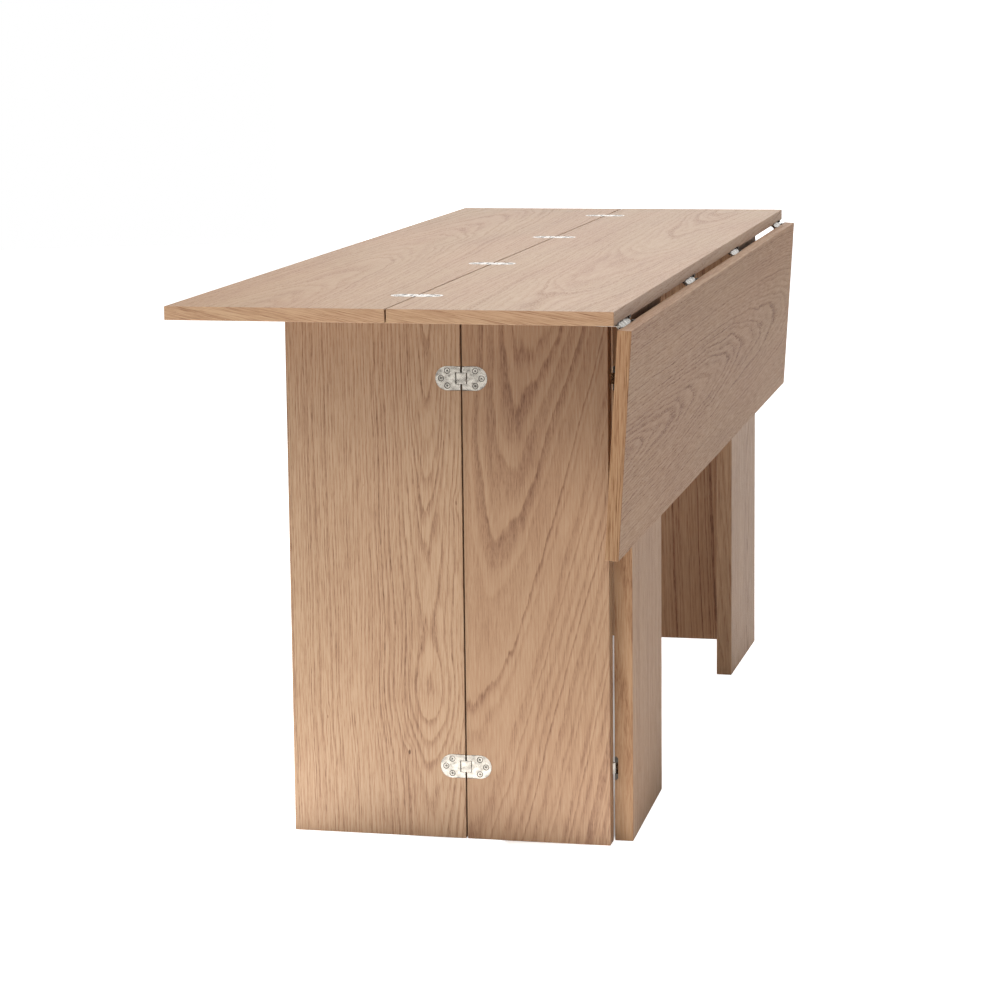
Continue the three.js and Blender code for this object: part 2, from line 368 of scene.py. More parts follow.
# How each board was cut from its log. pith is where the log's centre runs at mid length,
# across the board and above or below its hinged face. lean is how far it strays from there
# for each millimetre along the board. ring is a year's growth, contrast how much darker the
# early wood is, fibre how strong the fine streaks are and blush how pink it gets in places.
# face and end are the tones of its faces and its ends, and gloss its specular level. An eye
# is where the log swells towards the face.
CUTS = {
    "fixed_leaf": {
        "pith": (40, -95), "lean": (0.010, 0.030), "ring": 4.6, "contrast": 0.45, "fibre": 0.9,
        "blush": 0.8, "face": (1.04, 1.03, 1.01), "end": (1.12, 1.06, 0.98),
    },
    "lift_leaf": {
        "pith": (180, -120), "lean": (-0.012, 0.034), "ring": 4.4, "contrast": 0.45, "fibre": 0.9,
        "blush": 0.8, "face": (1.04, 1.03, 1.01), "end": (1.13, 1.09, 1.02),
    },
    "drop_leaf": {
        "pith": (150, -75), "lean": (0.014, 0.040), "ring": 4.2, "contrast": 0.9, "fibre": 1.7,
        "blush": 0.5, "face": (0.90, 0.82, 0.74), "end": (0.92, 0.82, 0.72), "gloss": 0.12,
    },
    "near_fixed_panel": {
        "pith": (-60, -135), "lean": (0.17, 0.074), "ring": 7.6, "contrast": 1.05, "fibre": 1.4,
        "face": (0.87, 0.81, 0.75), "end": (0.92, 0.86, 0.80),
    },
    "near_lift_wing": {
        "pith": (48, -31), "lean": (0.0, -0.066), "ring": 4.5, "contrast": 1.0, "fibre": 2.0,
        "face": (0.97, 0.95, 0.92), "end": (0.97, 0.94, 0.90),
        "eye": {"at": 166, "rise": 10, "length": 62},
    },
    "near_drop_wing": {
        "pith": (420, -60), "lean": (0.02, 0.060), "ring": 5.0, "contrast": 0.8, "fibre": 1.5,
        "face": (0.94, 0.86, 0.77), "end": (0.76, 0.67, 0.59), "gloss": 0.22,
    },
    "far_fixed_panel": {
        "pith": (-150, -50), "lean": (0.02, 0.070), "ring": 7.0, "contrast": 1.35, "fibre": 1.5,
        "face": (0.97, 0.90, 0.84), "end": (0.97, 0.90, 0.84),
    },
    "far_lift_wing": {
        "pith": (150, -60), "lean": (-0.02, 0.080), "ring": 5.0, "contrast": 1.0, "fibre": 1.5,
        "face": (0.97, 0.90, 0.84), "end": (0.97, 0.90, 0.84),
    },
    "far_drop_wing": {
        "pith": (90, -80), "lean": (0.015, 0.060), "ring": 4.2, "contrast": 1.0, "fibre": 1.6,
        "face": (0.97, 0.91, 0.85), "end": (0.97, 0.91, 0.85),
    },
}
USUAL_BLUSH = 0.2
USUAL_GLOSS = 0.5
BLUSH_TONE = (1.0, 0.93, 0.93, 1)
# Small knots: across the board, along it from the middle, width and darkness
KNOTS = {
    "near_lift_wing": (
        (78, 243, 2.4, 0.85), (192, 199, 1.8, 0.4), (9, -100, 2.2, 0.35), (136, -121, 1.2, 0.4),
    ),
}
KNOT_STRETCH = (1.0, 0.45, 0.0)
# In a knot's widths: how far it pushes the rings and how far out that reaches, and where its
# dark middle starts to fade and where it has gone
KNOT = {"push": 1.6, "reach": 5, "fades": 0.3, "gone": 0.85}

# How far the log's bends and the rings' roughness move the rings: noise size and amount
SWEEP = {"size": (160, 330, 160), "detail": 1.0, "amount": 9}
WAVER = {"size": (18, 120, 18), "detail": 2.0, "amount": 2.4}
RAGGED = {"size": (2.6, 34, 2.6), "detail": 2.0, "amount": 0.7}
RING_WANDER = {"scale": 0.05, "amount": 1.6}
WEAKEST_RING = 0.4
EARLY_RISE = (0.0, 0.20)
EARLY_FALL = (0.20, 0.80)

# The other marks, as noise: size across, along and through the board, detail and roughness
MARK_NOISE = {
    "vessels": ((0.55, 12, 0.55), 1.5, 0.6),
    "fibres": ((1.9, 46, 1.9), 2.0, 0.6),
    "fine": ((0.7, 18, 0.7), 2.0, 0.6),
    "streaks": ((11, 300, 11), 2.0, 0.5),
    "broad": ((75, 450, 75), 1.0, 0.5),
    "flecks": ((1.6, 7.0, 7.0), 1.0, 0.5),
    "blush": ((120, 600, 120), 1.0, 0.5),
}
VESSEL_RANGE = (0.48, 0.62)
FLECK_RANGE = (0.64, 0.72)
BLUSH_RANGE = (0.3, 0.7)
# Pores show in late wood, and by how much more in early wood
PORES = {"late": 0.12, "early": 0.85}
# What each mark adds to the wood's darkness, to its roughness and to its relief
PLAIN_DARKNESS = 0.16
EARLY_DARKNESS = 0.30
DARKNESS = {"pores": 0.34, "fibres": 0.30, "fine": 0.20, "streaks": 0.20, "broad": 0.14, "flecks": -0.05}
PLAIN_ROUGHNESS = 0.46
ROUGHNESS = {"pores": 0.2, "fibres": 0.06}
RELIEF = {"pores": -1.0, "early": -0.25, "fine": 0.2}
RELIEF_BUMP = {"strength": 0.6, "distance": 0.12}
OAK_IOR = 1.45
SEED_STEP = 137.0

# On a board's end, the edge band: how its grain slants and is stretched, how far apart its
# rings are and how much stronger its streaks are
END_FACING = 0.7
BAND_SLANT = {"lift_leaf": -0.30, "fixed_leaf": 0.27, "drop_leaf": 0.05}
USUAL_SLANT = 0.06
BAND_STRETCH = 1.5
BAND_RING = 3.0
BAND_FIBRE = 1.6


def along_the_band(graph, point, board):
    """The point as the edge band on a board's end has it, with its grain along X."""
    split = graph.split(point)
    slant = graph.math("MULTIPLY", split["X"], BAND_SLANT.get(board, USUAL_SLANT))
    across = graph.math("MULTIPLY_ADD", split["Z"], BAND_STRETCH, slant)
    return graph.joined(across, split["X"], split["Y"])


def bend(graph, seeded, noise):
    return graph.swing(graph.noise(seeded, noise["size"], detail=noise["detail"]), noise["amount"])


def log_radius(graph, point, seeded, cut, middle):
    """Distance in millimetres from the log's pith, with the small bends that a real log has."""
    split = graph.split(point)
    along = graph.math("SUBTRACT", split["Y"], middle)
    across, depth = (
        graph.math("SUBTRACT", split[axis], graph.math("MULTIPLY_ADD", along, lean, pith))
        for axis, pith, lean in zip("XZ", cut["pith"], cut["lean"])
    )
    depth = graph.math("ADD", depth, bend(graph, seeded, SWEEP))
    if "eye" in cut:
        depth = graph.math("SUBTRACT", depth, eye_rise(graph, along, cut["eye"]))
    return graph.length(graph.joined(across, 0.0, depth))


def eye_rise(graph, along, eye):
    """How far the rings swell towards the face, as a bell along the board."""
    offset = graph.math("DIVIDE", graph.math("SUBTRACT", along, eye["at"]), eye["length"])
    exponent = graph.math("MULTIPLY", graph.math("MULTIPLY", offset, offset), -1.0)
    return graph.math("MULTIPLY", graph.math("POWER", math.e, exponent), eye["rise"])


def ring_radius(graph, point, seeded, band, is_end, cut, middle):
    """Distance across the rings: from the pith on a face, and along the band's width on an end."""
    radius = log_radius(graph, point, seeded, cut, middle)
    straight = graph.math("MULTIPLY", graph.split(band)["X"], cut["ring"] / BAND_RING)
    change = graph.math("MULTIPLY", is_end, graph.math("SUBTRACT", straight, radius))
    radius = graph.math("ADD", radius, change)
    return graph.total(radius, bend(graph, seeded, WAVER), bend(graph, seeded, RAGGED))


def with_knots(graph, point, radius, board, middle):
    """The ring radius pushed aside by the board's small knots, and how dark the knots are."""
    dark = 0.0
    for across, along, width, darkness in KNOTS.get(board, ()):
        centred = graph.vector("SUBTRACT", point, (across, middle + along, 0.0))
        distance = graph.length(graph.vector("MULTIPLY", centred, KNOT_STRETCH))
        push = graph.ramp(distance, 0.0, KNOT["reach"] * width, KNOT["push"] * width, 0.0)
        middle_tone = graph.ramp(distance, KNOT["fades"] * width, KNOT["gone"] * width, darkness, 0.0)
        radius = graph.math("ADD", radius, push)
        dark = graph.math("ADD", dark, middle_tone)
    return radius, dark


def early_wood(graph, radius, cut):
    """1 at the start of each year's ring, falling to 0 in its late wood.

    Rings differ in width and strength.
    """
    inputs = {"W": radius, "Scale": RING_WANDER["scale"]}
    wander = graph.add("ShaderNodeTexNoise", inputs, noise_dimensions="1D").outputs["Fac"]
    years = graph.math("DIVIDE", radius, cut["ring"])
    rings = graph.math("ADD", years, graph.swing(wander, RING_WANDER["amount"]))
    phase = graph.math("FRACT", rings)
    year = {"W": graph.math("FLOOR", rings)}
    mark = graph.add("ShaderNodeTexWhiteNoise", year, noise_dimensions="1D").outputs["Value"]
    strength = graph.ramp(mark, 0.0, 1.0, WEAKEST_RING, 1.0)
    rise = graph.ramp(phase, *EARLY_RISE)
    fall = graph.ramp(phase, *EARLY_FALL, 1.0, 0.0)
    return graph.math("MULTIPLY", strength, graph.math("MULTIPLY", rise, fall))


def wood_marks(graph, seeded, early, is_end, cut):
    """How strongly each kind of mark shows."""
    noise = {
        name: graph.noise(seeded, size, detail=detail, roughness=roughness)
        for name, (size, detail, roughness) in MARK_NOISE.items()
    }
    vessels = graph.ramp(noise["vessels"], *VESSEL_RANGE)
    porous = graph.math("MULTIPLY_ADD", early, PORES["early"], PORES["late"])
    marks = {"early": early, "pores": graph.math("MULTIPLY", vessels, porous)}
    streakiness = graph.math("MULTIPLY_ADD", is_end, BAND_FIBRE, cut["fibre"])
    for name in ("fibres", "fine"):
        marks[name] = graph.math("MULTIPLY", graph.swing(noise[name], 1.0), streakiness)
    for name in ("streaks", "broad"):
        marks[name] = graph.swing(noise[name], 1.0)
    marks["flecks"] = graph.ramp(noise["flecks"], *FLECK_RANGE)
    marks["blush"] = graph.ramp(noise["blush"], *BLUSH_RANGE, 0.0, cut.get("blush", USUAL_BLUSH))
    return marks


def oak(board, seed, middle):
    """Oak with growth rings about its pith, pores in the early wood, fibres and changes of tone."""
    cut = CUTS[board]
    material, graph, shader = new_material("oak_" + board)
    coordinates = graph.add("ShaderNodeTexCoord").outputs
    point = object_point(graph, coordinates)
    facing = graph.split(coordinates["Normal"])["Y"]
    is_end = graph.math("GREATER_THAN", graph.math("ABSOLUTE", facing), END_FACING)
    band = along_the_band(graph, point, board)
    grain = graph.mix("VECTOR", is_end, point, band)
    seeded = graph.vector("ADD", grain, (seed * SEED_STEP, 0.0, 0.0))

    radius = ring_radius(graph, point, seeded, band, is_end, cut, middle)
    radius, knots = with_knots(graph, point, radius, board, middle)
    early = early_wood(graph, radius, cut)
    marks = wood_marks(graph, seeded, early, is_end, cut)
    weights = {"early": EARLY_DARKNESS * cut["contrast"], **DARKNESS}
    darkness = graph.total(PLAIN_DARKNESS, knots, *graph.weighted(marks, weights))

    colour = graph.colours(darkness, OAK_STOPS)
    tone = graph.mix("RGBA", is_end, (*cut["face"], 1), (*cut["end"], 1))
    colour = graph.mix("RGBA", 1.0, colour, tone, "MULTIPLY")
    colour = graph.mix("RGBA", marks["blush"], colour, BLUSH_TONE, "MULTIPLY")
    graph.put(shader.inputs["Base Color"], colour)
    roughness = graph.total(PLAIN_ROUGHNESS, *graph.weighted(marks, ROUGHNESS))
    graph.put(shader.inputs["Roughness"], roughness)
    bump = graph.add("ShaderNodeBump", {
        "Height": graph.total(*graph.weighted(marks, RELIEF)),
        "Strength": RELIEF_BUMP["strength"],
        "Distance": RELIEF_BUMP["distance"] * MM,
    })
    graph.put(shader.inputs["Normal"], bump.outputs["Normal"])
    shader.inputs["IOR"].default_value = OAK_IOR
    shader.inputs["Specular IOR Level"].default_value = cut.get("gloss", USUAL_GLOSS)
    return material


# ---------------------------------------------------------------- metals

METALS = {
    "satin_nickel": {"colour": (0.44, 0.405, 0.355), "roughness": 0.27, "scratch": 0.03},
    # Dark metal that paints the shade of holes, recesses, edges and undersides onto hinge plates and screws;
    # it is no finish of its own
    "recess_shade_nickel": {"colour": (0.10, 0.088, 0.075), "roughness": 0.5, "scratch": 0.03},
    "zinc_steel": {"colour": (0.56, 0.57, 0.58), "roughness": 0.42, "scratch": 0.01},
}
# What a metal's brushing, clouds and waves are as noise, and what they do to it
METAL_NOISE = {
    "brushing": ((7.0, 0.12, 0.5), 3.0, 0.7),
    "clouds": ((4.5, 4.5, 4.5), 3.0, 0.5),
    "waves": ((9.0, 9.0, 9.0), 1.0, 0.5),
}
METAL_TINT = {"brushing": 0.12, "clouds": 0.24, "waves": 0.5}
METAL_GLOSS = {"brushing": 0.10, "clouds": 0.14}
WAVE_BUMP = {"strength": 0.8, "distance": 0.6}
SCRATCH_STRENGTH = 0.35


def brushed_metal(name):
    """Plated steel, polished along one direction, with fine scratches and uneven gloss."""
    metal = METALS[name]
    material, graph, shader = new_material(name)
    point = object_point(graph, graph.add("ShaderNodeTexCoord").outputs)
    noise = {
        kind: graph.noise(point, size, detail=detail, roughness=roughness)
        for kind, (size, detail, roughness) in METAL_NOISE.items()
    }
    tints = [graph.swing(noise[kind], amount) for kind, amount in METAL_TINT.items()]
    scale = {0: metal["colour"], "Scale": graph.total(*tints, 1.0)}
    tinted = graph.add("ShaderNodeVectorMath", scale, operation="SCALE").outputs[0]
    graph.put(shader.inputs["Base Color"], tinted)
    changes = [graph.swing(noise[kind], amount) for kind, amount in METAL_GLOSS.items()]
    graph.put(shader.inputs["Roughness"], graph.total(metal["roughness"], *changes))
    waves = graph.add("ShaderNodeBump", {
        "Height": noise["waves"],
        "Strength": WAVE_BUMP["strength"],
        "Distance": WAVE_BUMP["distance"] * MM,
    })
    scratches = graph.add("ShaderNodeBump", {
        "Height": noise["brushing"],
        "Strength": SCRATCH_STRENGTH,
        "Distance": metal["scratch"] * MM,
        "Normal": waves.outputs["Normal"],
    })
    graph.put(shader.inputs["Normal"], scratches.outputs["Normal"])
    shader.inputs["Metallic"].default_value = 1.0
    return material


# ---------------------------------------------------------------- hinge parts

ALONG_SEAM = Matrix.Rotation(math.pi / 2, 4, "X")


def plate_shape(kind):
    """The plate on the moving side, with a notch for the link and knuckles for its pin."""
    thickness = PLATE["thickness"]
    half_notch = kind["link"] + NOTCH["gap"]
    plate = prism(half_outline(kind, 0, PLATE["inner"]), -thickness, 0)
    rounded(plate, PLATE["bevel"], PLATE["bevel_steps"], is_on_face)
    lugs = []
    for side in (-1, 1):
        start, end = sorted((side * half_notch, side * kind["reach"]))
        lugs.append(block((PLATE["inner"], start, -LUG["depth"]), (LUG["end"], end, -LUG["top"])))
    plate = combined(plate, lugs, "UNION")
    notch = block((0, -half_notch, -THROUGH), (NOTCH["end"], half_notch, CLEAR))
    reach = kind["reach"] - BORE["inset"]
    bore = turned([(BORE["radius"], reach), (BORE["radius"], -reach)])
    moved(bore, Matrix.Translation((PIN_X, 0, -PIN_DEPTH)) @ ALONG_SEAM)
    sinks = [moved(sink(thickness), Matrix.Translation((x, y, 0))) for x, y in kind["screws"]]
    return combined(plate, [notch, bore, *sinks], "DIFFERENCE")


def sink(thickness):
    """Cuts a countersunk hole through metal whose face is at Z = 0."""
    return turned([
        (SINK["radius"] + CLEAR, CLEAR), (SINK["radius"], 0), (SINK["hole"], -SINK["depth"]),
        (SINK["hole"], -thickness - CLEAR),
    ])


def link_shape(kind):
    """The bar that joins both plates, with a pin through each of its round edges."""
    steps = LINK["steps"]
    half_turn = [math.pi * (i / steps - 0.5) for i in range(steps + 1)]
    right = [(PIN_X + LINK["radius"] * math.cos(a), LINK["radius"] * math.sin(a)) for a in half_turn]
    left = [(-x, -z) for x, z in right]
    count = kind["knuckles"]
    bevel = LINK["segment_bevel"] if count > 1 else LINK["bevel"]
    length = 2 * kind["link"] / count
    segments = []
    for number in range(count):
        low = number * length - kind["link"]
        segment = prism(right + left, low, low + length)
        segments.append(rounded(segment, bevel, LINK["bevel_steps"], is_level))
    others = segments[1:]
    if count > 1:
        others.append(link_core(kind["link"] - length / 2))
    bar = segments[0]
    reach = kind["reach"] - PIN["inset"]
    for x in (-PIN_X, PIN_X):
        pin = turned([(PIN["radius"], reach), (PIN["radius"], -reach)], steps=PIN["steps"])
        others.append(moved(pin, Matrix.Translation((x, 0, 0))))
    for other in others:
        bar = combined(bar, [other], "UNION")
    return moved(bar, ALONG_SEAM)


def link_core(reach):
    """A core inside a long link's bar, across the joins between its segments."""
    half = LINK["radius"] - LINK["core_inset"]
    return block((-PIN_X, -half, -reach), (PIN_X, half, reach))


def recess():
    """Cuts the cross recess in a screw's head, narrowing towards its bottom."""
    arm, half = RECESS["arm"], RECESS["half_width"]
    outline = []
    for quarter in range(4):
        turn = Matrix.Rotation(-quarter * math.pi / 2, 2)
        outline += [turn @ Vector(point) for point in ((half, half), (arm, half), (arm, -half))]
    shape = bmesh.new()
    top = [shape.verts.new((x, y, RECESS["above"])) for x, y in outline]
    narrow = [point * RECESS["taper"] for point in outline]
    bottom = [shape.verts.new((x, y, -RECESS["depth"])) for x, y in narrow]
    close_solid(shape, bottom, top)
    return shape


def screw_shape(head, cut_height):
    """A screw with that head profile and a cross recess cut from that height."""
    shank, length = SCREW["shank"], SCREW["length"]
    profile = [*head, (shank, SCREW["point"] - length), (0, -length)]
    cutter = moved(recess(), Matrix.Translation((0, 0, cut_height)))
    return combined(turned(profile), [cutter], "DIFFERENCE")


def countersunk_screw_shape():
    radius, rim, top = SCREW["head"], SCREW["rim"], -SCREW["sunk"]
    head = [(radius - rim, top), (radius, top - rim), (SCREW["shank"], -SCREW["head_depth"])]
    return screw_shape(head, 0)


def domed_screw_shape():
    radius, rim, steps = DOMED_HEAD["radius"], DOMED_HEAD["rim"], DOMED_HEAD["steps"]
    rise = DOMED_HEAD["height"] - rim
    quarter = [math.pi / 2 * i / steps for i in range(steps + 1)]
    dome = [(radius * math.sin(a), rim + rise * math.cos(a)) for a in quarter]
    return screw_shape([*dome, (radius, 0), (SCREW["shank"], 0)], DOMED_HEAD["height"])


# ---------------------------------------------------------------- seams


class Seam:
    """The hinge line between a fixed board and a moving one, as it is at rest."""

    def __init__(self, board, fixed_board, across, outward, kind=FLAP_HINGE):
        self.board = board
        self.kind = kind
        self.fixed_board = fixed_board
        x, z = Vector(across), Vector(outward)
        y = z.cross(x)
        fixed_pin = Vector(JOINTS[board + "_links_turn"]["pos_m"])
        moving_pin = Vector(JOINTS[board + "_fold"]["pos_m"])
        step = moving_pin - fixed_pin
        half_turn = Matrix.Rotation(-math.atan2(step.dot(z), step.dot(x)), 4, "Y")
        to_pin = Matrix.Translation(Vector((-PIN_X, 0, -PIN_DEPTH)) * MM)
        basis = Matrix((x, y, z)).transposed().to_4x4()
        self.links = Matrix.Translation(fixed_pin) @ basis @ half_turn
        self.fixed = Matrix.Translation(fixed_pin) @ basis @ to_pin.inverted()
        across_link = Matrix.Translation((2 * PIN_X * MM, 0, 0))
        from_pin = Matrix.Translation(Vector((-PIN_X, 0, PIN_DEPTH)) * MM)
        self.moving = self.links @ across_link @ half_turn @ from_pin
        self.stations = [self.station(i) for i in range(self.count())]

    def count(self):
        return sum(name.startswith(self.board + "_link_") for name in NODES)

    def station(self, index):
        """How far along the seam a hinge is, from where its link is in the frame."""
        low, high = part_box(f"{self.board}_link_{index + 1}")
        return (self.links.inverted() @ ((low + high) / 2)).y / MM


def make_seams():
    seams = [
        Seam("lift_leaf", "fixed_leaf", (-1, 0, 0), (0, 0, 1)),
        Seam("drop_leaf", "fixed_leaf", (1, 0, 0), (0, 0, -1), LONG_HINGE),
    ]
    for end, side in (("near", -1), ("far", 1)):
        panel = end + "_fixed_panel"
        seams.append(Seam(end + "_lift_wing", panel, (-1, 0, 0), (0, side, 0)))
        seams.append(Seam(end + "_drop_wing", panel, (1, 0, 0), (0, -side, 0)))
    return seams


# ---------------------------------------------------------------- boards


def box_in(place, node):
    """A node's lowest and highest corners in a frame of its own, in millimetres."""
    inverse = place.inverted()
    points = [inverse @ vertex.co for vertex in NODES[node].data.vertices]
    low = [min(p[axis] for p in points) / MM for axis in range(3)]
    high = [max(p[axis] for p in points) / MM for axis in range(3)]
    return low, high


def pocket_cutters(place, seams):
    """Solids that cut the hinges' pockets into a board, in the board's frame."""
    cutters = []
    for seam, seam_frame in seams:
        to_board = place.inverted() @ seam_frame
        to_board.translation /= MM
        across = POCKET["across"]
        reach = seam.kind["reach"] + POCKET["end_gap"]
        low = (-across, -reach, -POCKET["knuckle_depth"])
        high = (across, reach, POCKET["knuckle_top"])
        for station in seam.stations:
            shift = to_board @ Matrix.Translation((0, station, 0))
            if seam.kind["flush"]:
                arc = half_outline(seam.kind, POCKET["gap"], 0)[1:-1]
                outline = arc + [(-x, -y) for x, y in arc]
                cutters.append(moved(prism(outline, -POCKET["depth"], CLEAR), shift))
            cutters.append(moved(block(low, high), shift))
    return cutters


def make_board(name, place, seams, body):
    low, high = box_in(place, name)
    shape = rounded(block(low, high), ARRIS, ARRIS_STEPS)
    shape = combined(shape, pocket_cutters(place, seams), "DIFFERENCE")
    piece = name + "_oak"
    board = placed_object(piece, finished_mesh(piece, shape, SHARP_ANGLE["board"]), place)
    weigh_normals(board)
    middle = (low[1] + high[1]) / 2
    board.data.materials.append(oak(name, list(CUTS).index(name), middle))
    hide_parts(name)
    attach(board, body)


def own_frame(node, across, along):
    """A frame at the middle of a node's box, with Z = 0 on its outer face."""
    low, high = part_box(node)
    x, y = Vector(across), Vector(along)
    z = x.cross(y)
    half = (high - low) / 2
    centre = (high + low) / 2 + z * abs(half.dot(z))
    return Matrix.Translation(centre) @ Matrix((x, y, z)).transposed().to_4x4()


def make_boards(seams):
    for seam in seams:
        make_board(seam.board, seam.moving, [(seam, seam.moving)], seam.board)
    fixed = (
        ("fixed_leaf", (1, 0, 0), (0, 1, 0)),
        ("near_fixed_panel", (1, 0, 0), (0, 0, 1)),
        ("far_fixed_panel", (-1, 0, 0), (0, 0, 1)),
    )
    for name, across, along in fixed:
        mine = [(seam, seam.fixed) for seam in seams if seam.fixed_board == name]
        make_board(name, own_frame(name, across, along), mine, "frame")


# ---------------------------------------------------------------- hinges


def hinge_meshes():
    """The meshes that the hinges share: each kind's plate and link, and their screw."""
    nickel = brushed_metal("satin_nickel")
    shade_metal = brushed_metal("recess_shade_nickel")
    shapes = {"countersunk_screw": countersunk_screw_shape()}
    for kind in (FLAP_HINGE, LONG_HINGE):
        shapes[kind["name"] + "_hinge_plate"] = plate_shape(kind)
        shapes[kind["name"] + "_hinge_link"] = link_shape(kind)
    meshes = {}
    for name, shape in shapes.items():
        meshes[name] = finished_mesh(name, shape, SHARP_ANGLE["hinge"])
        meshes[name].materials.append(nickel)
        # Plates and screws get painted shade: their faces below the outer face take the dark metal
        if not name.endswith("link"):
            paint_shade_below_the_face(meshes[name], shade_metal)
    return meshes


def paint_shade_below_the_face(mesh, shade_metal):
    """Paints shade on the walls of holes, recesses and edges: their faces get a dark metal that stands in
    for the shade falling there.
    """
    mesh.materials.append(shade_metal)
    for face in mesh.polygons:
        if face.center.z < -SHADE_BELOW * MM:
            face.material_index = 1


def put_metal(piece, body, node=None):
    weigh_normals(piece)
    if node:
        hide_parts(node)
    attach(piece, body)


def put_hinge(seam, number, station, meshes, screw_count):
    """One hinge of a seam: the link, and on either side of it a plate with its screws.

    screw_count is how many screws the hinges before it have, and the new count is returned.
    """
    kind = seam.kind["name"] + "_hinge"
    along = Matrix.Translation((0, station * MM, 0))
    link = f"{seam.board}_link_{number}"
    place = seam.links @ along @ Matrix.Translation((PIN_X * MM, 0, 0))
    bar = placed_object(link + "_bar", meshes[kind + "_link"], place)
    put_metal(bar, seam.board + "_links", link)
    half_turn = Matrix.Rotation(math.pi, 4, "Z")
    sides = (
        ("fixed", seam.fixed @ along @ half_turn, "frame"),
        ("moving", seam.moving @ along, seam.board),
    )
    for side, place, body in sides:
        node = f"{seam.board}_{side}_plate_{number}"
        put_metal(placed_object(node + "_detail", meshes[kind + "_plate"], place), body, node)
        for i, (x, y) in enumerate(seam.kind["screws"]):
            turn = Matrix.Rotation(screw_count * SCREW_TURN, 4, "Z")
            spot = place @ Matrix.Translation((x * MM, y * MM, 0)) @ turn
            screw = placed_object(f"{node}_screw_{i + 1}", meshes["countersunk_screw"], spot)
            put_metal(screw, body)
            screw_count += 1
    return screw_count


def make_hinges(seams):
    meshes = hinge_meshes()
    screw_count = 0
    for seam in seams:
        for index, station in enumerate(seam.stations):
            screw_count = put_hinge(seam, index + 1, station, meshes, screw_count)


# ---------------------------------------------------------------- fixing angles

# In an angle's own frame X runs inward along the level flange, Y down the upright one and Z
# along the bend.


def angle_profile(flange):
    """The angle's section: both flanges, with the bend round outside and inside."""
    metal, radius, steps = ANGLE["metal"], ANGLE["bend"], ANGLE["bend_steps"]
    inner = radius - metal
    quarter = [math.pi / 2 * i / steps for i in range(steps + 1)]
    outside = [(radius - radius * math.sin(a), radius - radius * math.cos(a)) for a in quarter]
    inside = [(radius - inner * math.cos(a), radius - inner * math.sin(a)) for a in quarter]
    return [(flange, 0), *outside, (0, flange), (metal, flange), *inside, (flange, metal)]


def at_flange_corner(flange, half_length):
    """Tells whether an edge runs through the metal at a flange's outer corner."""

    def is_corner(edge):
        start, end = (vertex.co for vertex in edge.verts)
        at_end = is_level(edge) and abs(abs(start.z) - half_length) < TOLERANCE
        at_tip = any(
            abs(start[axis] - flange) < TOLERANCE and abs(end[axis] - flange) < TOLERANCE
            for axis in range(2)
        )
        return at_end and at_tip

    return is_corner


def angle_holes():
    """Countersunk holes for the level flange, and plain ones for the upright one."""
    metal, reach = ANGLE["metal"], ANGLE_SCREWS["from_corner"]
    radius, through = ANGLE_SCREWS["hole"], ANGLE_SCREWS["through"]
    holes = []
    for step in ANGLE_SCREWS["steps"]:
        z = step * ANGLE_SCREWS["spacing"]
        level = Matrix.Translation((reach, metal, z)) @ Matrix.Rotation(-math.pi / 2, 4, "X")
        holes.append(moved(sink(metal), level))
        hole = turned([(radius, through), (radius, -through)])
        upright = Matrix.Translation((0, reach, z)) @ Matrix.Rotation(math.pi / 2, 4, "Y")
        holes.append(moved(hole, upright))
    return holes


def angle_shape(flange, half_length):
    """The bent angle with its corners rounded and its holes cut."""
    shape = prism(angle_profile(flange), -half_length, half_length)
    rounded(shape, ANGLE["corner"], ANGLE["corner_steps"], at_flange_corner(flange, half_length))
    return combined(shape, angle_holes(), "DIFFERENCE")


def make_fixing_angle(end, side, screws, zinc):
    """A bent steel angle in the corner between a fixed panel and the fixed leaf."""
    node = end + "_fixing_angle"
    low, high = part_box(node)
    inward = Vector((0, -side, 0))
    down = Vector((0, 0, -1))
    corner = Vector(((low.x + high.x) / 2, high.y if side > 0 else low.y, high.z))
    basis = Matrix((inward, down, inward.cross(down))).transposed().to_4x4()
    place = Matrix.Translation(corner) @ basis
    shape = angle_shape((high.z - low.z) / MM, (high.x - low.x) / 2 / MM)
    mesh = finished_mesh(node + "_bent", shape, SHARP_ANGLE["angle"])
    mesh.materials.append(zinc)
    put_metal(placed_object(node + "_bent", mesh, place), "frame", node)
    put_angle_screws(node, place, screws)


def put_angle_screws(node, place, screws):
    """A flat screw in the level flange and a domed one in the upright one, at each step."""
    metal, reach = ANGLE["metal"], ANGLE_SCREWS["from_corner"]
    number = 0
    for step in ANGLE_SCREWS["steps"]:
        z = step * ANGLE_SCREWS["spacing"]
        spots = (
            ("flat_zinc_screw", (reach, metal, z), (0, 1, 0)),
            ("domed_screw", (metal, reach, z), (1, 0, 0)),
        )
        for kind, spot, out in spots:
            number += 1
            turn = Vector(out).to_track_quat("Z", "Y").to_matrix().to_4x4()
            screw_place = place @ Matrix.Translation(Vector(spot) * MM) @ turn
            screw = placed_object(f"{node}_screw_{number}", screws[kind], screw_place)
            put_metal(screw, "frame", None)


def make_fixing_angles():
    zinc = brushed_metal("zinc_steel")
    shapes = {"domed_screw": domed_screw_shape(), "flat_zinc_screw": countersunk_screw_shape()}
    screws = {}
    for name, shape in shapes.items():
        screws[name] = finished_mesh(name, shape, SHARP_ANGLE["hinge"])
        screws[name].materials.append(zinc)
    for end, side in (("near", -1), ("far", 1)):
        make_fixing_angle(end, side, screws, zinc)


# ---------------------------------------------------------------- studio, in metres

CAMERA = {
    "place": (0.919, -4.396, 1.133), "yaw": -12.47, "pitch": -8.505, "roll": -0.624,
    "lens": 105.83, "sensor": 36.0, "shift_y": -0.07, "sees_to": 100,
}
FLOOR = {
    "radius": 9.0, "segments": 96, "below": 0.0005, "colour": (0.93, 0.93, 0.93, 1),
    "roughness": 0.9, "glow": (0.62, 1.1), "glow_from": (2.0, 5.5),
}
